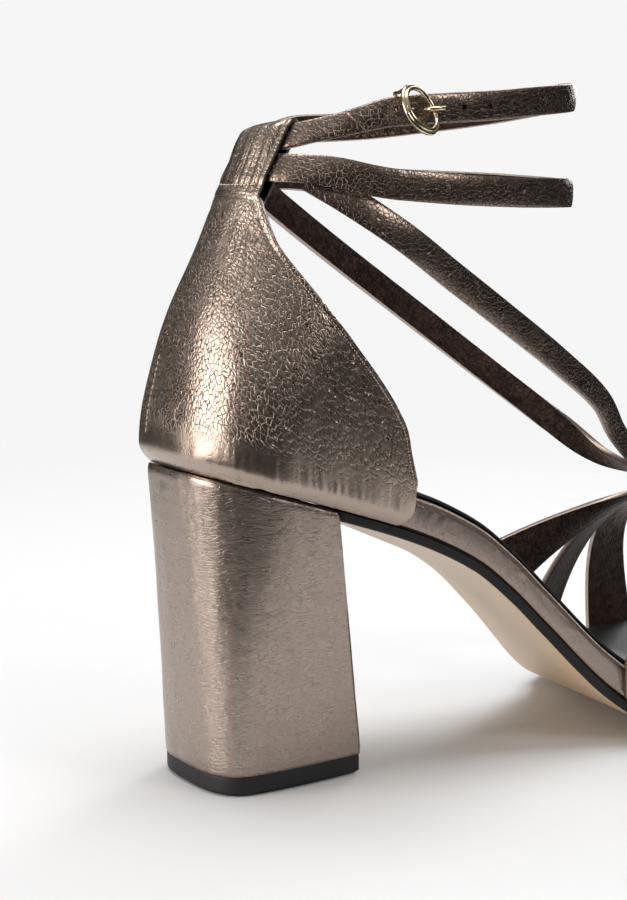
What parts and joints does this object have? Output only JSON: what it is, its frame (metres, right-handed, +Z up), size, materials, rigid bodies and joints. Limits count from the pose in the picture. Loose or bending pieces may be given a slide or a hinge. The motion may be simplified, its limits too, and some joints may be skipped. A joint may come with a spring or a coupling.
{
  "type": "block-heel strap sandal",
  "caption": "Women's right block-heel sandal: closed heel counter, ankle straps with a round buckle, crossing throat strap, banded open-toe vamp and shaped sole.",
  "frame": {"origin": "middle of the flat tread under the heel, on the floor", "axes": "+X from the heel to the toe, +Y to the inner side of the foot, +Z up; right shoe"},
  "size_m": [0.218, 0.0821, 0.1711],
  "materials": {
    "leather": "pebbled leather with a pewter metallic foil",
    "sock": "smooth black lining leather",
    "outsole": "smooth beige sole with a black painted edge",
    "lift": "matt black rubber",
    "buckle": "polished pale gold plate"
  },
  "bodies": {
    "root": {"top_lift": "lift", "heel_block": "leather", "outsole": "outsole", "footbed": "leather", "sock": "sock", "counter": "leather", "ankle_strap_lower": "leather", "ankle_strap_upper": "leather", "throat_strap": "leather", "vamp_straps": "leather", "vamp_keeper": "leather", "buckle_frame": "buckle", "buckle_prong": "buckle"}
  },
  "joints": []
}
